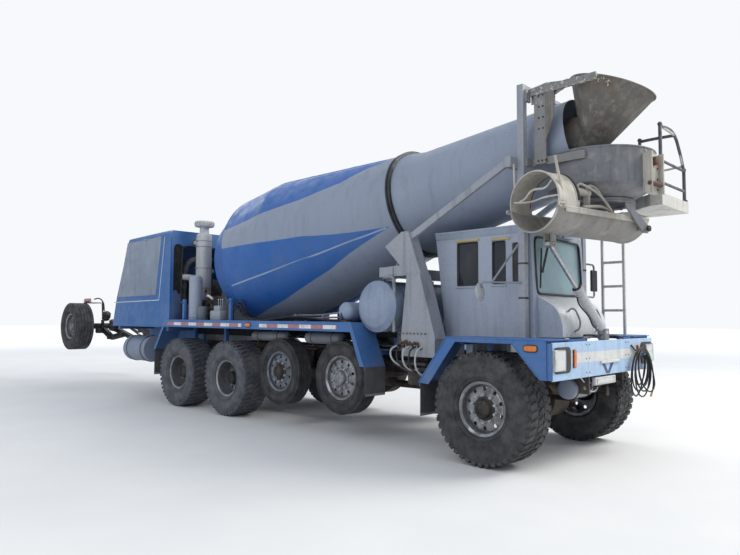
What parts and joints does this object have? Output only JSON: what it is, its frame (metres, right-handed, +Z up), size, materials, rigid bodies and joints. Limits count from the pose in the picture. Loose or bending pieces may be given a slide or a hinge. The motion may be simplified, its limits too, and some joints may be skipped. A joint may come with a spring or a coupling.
{
  "type": "concrete mixer truck",
  "caption": "Front-discharge concrete mixer truck with turning drum, charge hopper, swinging and folding chute, steered front wheels, lifted pusher axles and a raised trailing booster axle.",
  "frame": {"origin": "on the ground under the middle of the truck's length and width", "axes": "+X forward, +Y to the truck's left, +Z up"},
  "size_m": [12.761, 2.48, 4.1166],
  "materials": {
    "blue": "worn",
    "light_blue": "worn",
    "grey_paint": "worn",
    "chassis": "worn",
    "cream": "worn",
    "worn_steel": "worn",
    "axle_brown": "worn",
    "engine_iron": "worn",
    "bright_steel": "worn",
    "rim_aluminium": "worn",
    "rim_black": "worn",
    "tyre_black": "worn",
    "flap_rubber": "worn",
    "clear_glass": "worn",
    "trim_plastic": "worn",
    "lens": "worn"
  },
  "bodies": {
    "truck": {"frame_rails": "chassis", "front_axle": "axle_brown", "pusher_axles": "chassis", "drive_axles": "chassis", "engine_block": "engine_iron", "hood": "blue", "side_fenders": "blue", "mudflaps": "flap_rubber", "bumper": "blue", "cab_shell": "light_blue", "cab_glass": "clear_glass", "cab_inside": "trim_plastic", "pedestals": "light_blue", "drum_drive": "light_blue", "tanks": "light_blue", "canisters": "light_blue", "hopper_frame": "light_blue", "charge_hopper": "worn_steel", "collector_bowl": "grey_paint", "platform": "cream", "ladder": "cream", "mirrors": "bright_steel", "lamps": "lens", "hose": "flap_rubber"},
    "drum": {"drum_shell": "grey_paint"},
    "drum_roller_right": {"roller_right": "bright_steel"},
    "drum_roller_left": {"roller_left": "bright_steel"},
    "steering_right": {"knuckle_right": "axle_brown"},
    "steering_left": {"knuckle_left": "axle_brown"},
    "door_left": {"cab_door": "light_blue"},
    "swivel": {"chute_swivel": "cream"},
    "chute": {"main_chute": "worn_steel"},
    "fold": {"fold_chute": "cream"},
    "barrel": {"lift_barrel": "grey_paint"},
    "rod": {"lift_rod": "bright_steel"},
    "booster": {"booster_arm": "chassis"},
    "wheel_front_right": {"tyre_front_right": "tyre_black", "rim_front_right": "rim_black"},
    "wheel_pusher1_right": {"tyre_pusher1_right": "tyre_black", "rim_pusher1_right": "rim_aluminium"},
    "wheel_pusher2_right": {"tyre_pusher2_right": "tyre_black", "rim_pusher2_right": "rim_black"},
    "wheel_drive1_right": {"tyre_drive1_right": "tyre_black", "rim_drive1_right": "rim_aluminium"},
    "wheel_drive2_right": {"tyre_drive2_right": "tyre_black", "rim_drive2_right": "rim_aluminium"},
    "wheel_booster_right": {"tyre_booster_right": "tyre_black", "rim_booster_right": "rim_aluminium"},
    "wheel_front_left": {"tyre_front_left": "tyre_black", "rim_front_left": "rim_black"},
    "wheel_pusher1_left": {"tyre_pusher1_left": "tyre_black", "rim_pusher1_left": "rim_aluminium"},
    "wheel_pusher2_left": {"tyre_pusher2_left": "tyre_black", "rim_pusher2_left": "rim_black"},
    "wheel_drive1_left": {"tyre_drive1_left": "tyre_black", "rim_drive1_left": "rim_aluminium"},
    "wheel_drive2_left": {"tyre_drive2_left": "tyre_black", "rim_drive2_left": "rim_aluminium"},
    "wheel_booster_left": {"tyre_booster_left": "tyre_black", "rim_booster_left": "rim_aluminium"}
  },
  "joints": [
    {"name": "steer_right", "type": "hinge", "parent": "truck", "child": "steering_right", "pos_m": [5.04, -0.7, 0.5865], "axis": [0, 0, 1], "range_deg": [-30, 30]},
    {"name": "wheel_front_right_spin", "type": "hinge", "parent": "steering_right", "child": "wheel_front_right", "pos_m": [5.04, -1.02, 0.5865], "axis": [0, 1, 0], "continuous": true},
    {"name": "wheel_pusher1_right_spin", "type": "hinge", "parent": "truck", "child": "wheel_pusher1_right", "pos_m": [2.855, -1.0275, 0.745], "axis": [0, 1, 0], "continuous": true},
    {"name": "wheel_pusher2_right_spin", "type": "hinge", "parent": "truck", "child": "wheel_pusher2_right", "pos_m": [1.589, -1.0275, 0.745], "axis": [0, 1, 0], "continuous": true},
    {"name": "wheel_drive1_right_spin", "type": "hinge", "parent": "truck", "child": "wheel_drive1_right", "pos_m": [0.362, -1.02, 0.57], "axis": [0, 1, 0], "continuous": true},
    {"name": "wheel_drive2_right_spin", "type": "hinge", "parent": "truck", "child": "wheel_drive2_right", "pos_m": [-1.101, -1.02, 0.57], "axis": [0, 1, 0], "continuous": true},
    {"name": "wheel_booster_right_spin", "type": "hinge", "parent": "booster", "child": "wheel_booster_right", "pos_m": [-5.884, -1.0475, 1.276], "axis": [0, 1, 0], "continuous": true},
    {"name": "steer_left", "type": "hinge", "parent": "truck", "child": "steering_left", "pos_m": [5.04, 0.7, 0.5865], "axis": [0, 0, 1], "range_deg": [-30, 30]},
    {"name": "wheel_front_left_spin", "type": "hinge", "parent": "steering_left", "child": "wheel_front_left", "pos_m": [5.04, 1.02, 0.5865], "axis": [0, 1, 0], "continuous": true},
    {"name": "wheel_pusher1_left_spin", "type": "hinge", "parent": "truck", "child": "wheel_pusher1_left", "pos_m": [2.855, 1.0275, 0.745], "axis": [0, 1, 0], "continuous": true},
    {"name": "wheel_pusher2_left_spin", "type": "hinge", "parent": "truck", "child": "wheel_pusher2_left", "pos_m": [1.589, 1.0275, 0.745], "axis": [0, 1, 0], "continuous": true},
    {"name": "wheel_drive1_left_spin", "type": "hinge", "parent": "truck", "child": "wheel_drive1_left", "pos_m": [0.362, 1.02, 0.57], "axis": [0, 1, 0], "continuous": true},
    {"name": "wheel_drive2_left_spin", "type": "hinge", "parent": "truck", "child": "wheel_drive2_left", "pos_m": [-1.101, 1.02, 0.57], "axis": [0, 1, 0], "continuous": true},
    {"name": "wheel_booster_left_spin", "type": "hinge", "parent": "booster", "child": "wheel_booster_left", "pos_m": [-5.884, 1.0475, 1.276], "axis": [0, 1, 0], "continuous": true},
    {"name": "drum_spin", "type": "hinge", "parent": "truck", "child": "drum", "pos_m": [-0.655, 0, 2.338], "axis": [0.9838, 0, 0.1795], "continuous": true},
    {"name": "drum_roller_right_spin", "type": "hinge", "parent": "truck", "child": "drum_roller_right", "pos_m": [3.4379, -0.4823, 2.35791], "axis": [0.9838, 0, 0.1795], "continuous": true},
    {"name": "drum_roller_left_spin", "type": "hinge", "parent": "truck", "child": "drum_roller_left", "pos_m": [3.4379, 0.4823, 2.35791], "axis": [0.9838, 0, 0.1795], "continuous": true},
    {"name": "door_left_hinge", "type": "hinge", "parent": "truck", "child": "door_left", "pos_m": [4.532, 0.614, 1.9], "axis": [0, 0, 1], "range_deg": [0, 75]},
    {"name": "chute_swing", "type": "hinge", "parent": "truck", "child": "swivel", "pos_m": [5.8, 0, 2.7], "axis": [0, 0, 1], "range_deg": [0, 100]},
    {"name": "chute_lift", "type": "hinge", "parent": "swivel", "child": "chute", "pos_m": [5.85364, 0.29517, 2.48], "axis": [0.9839, -0.1788, 0], "range_deg": [0, 30]},
    {"name": "chute_fold", "type": "hinge", "parent": "chute", "child": "fold", "pos_m": [5.6001, -1.09998, 2.603], "axis": [0.9839, -0.1788, 0], "range_deg": [0, 180]},
    {"name": "lift_barrel_tilt", "type": "hinge", "parent": "swivel", "child": "barrel", "pos_m": [5.8, 0, 1.37], "axis": [0.9839, -0.1788, 0], "range_deg": [0, 17]},
    {"name": "lift_rod_slide", "type": "slide", "parent": "barrel", "child": "rod", "axis": [-0.1243, -0.6838, 0.719], "range_m": [-0.56, 0]},
    {"name": "booster_lower", "type": "hinge", "parent": "truck", "child": "booster", "pos_m": [-4.02, 0, 0.91], "axis": [0, 1, 0], "range_deg": [-22.5, 0]}
  ],
  "couplings": [
    {"joint": "steer_left", "follows": "steer_right", "ratio": 1},
    {"joint": "drum_roller_right_spin", "follows": "drum_spin", "ratio": -6.4957},
    {"joint": "drum_roller_left_spin", "follows": "drum_spin", "ratio": -6.4957},
    {"joint": "lift_barrel_tilt", "follows": "chute_lift", "ratio": 0.54433},
    {"joint": "lift_rod_slide", "follows": "chute_lift", "m_per_rad": -1.0456}
  ]
}
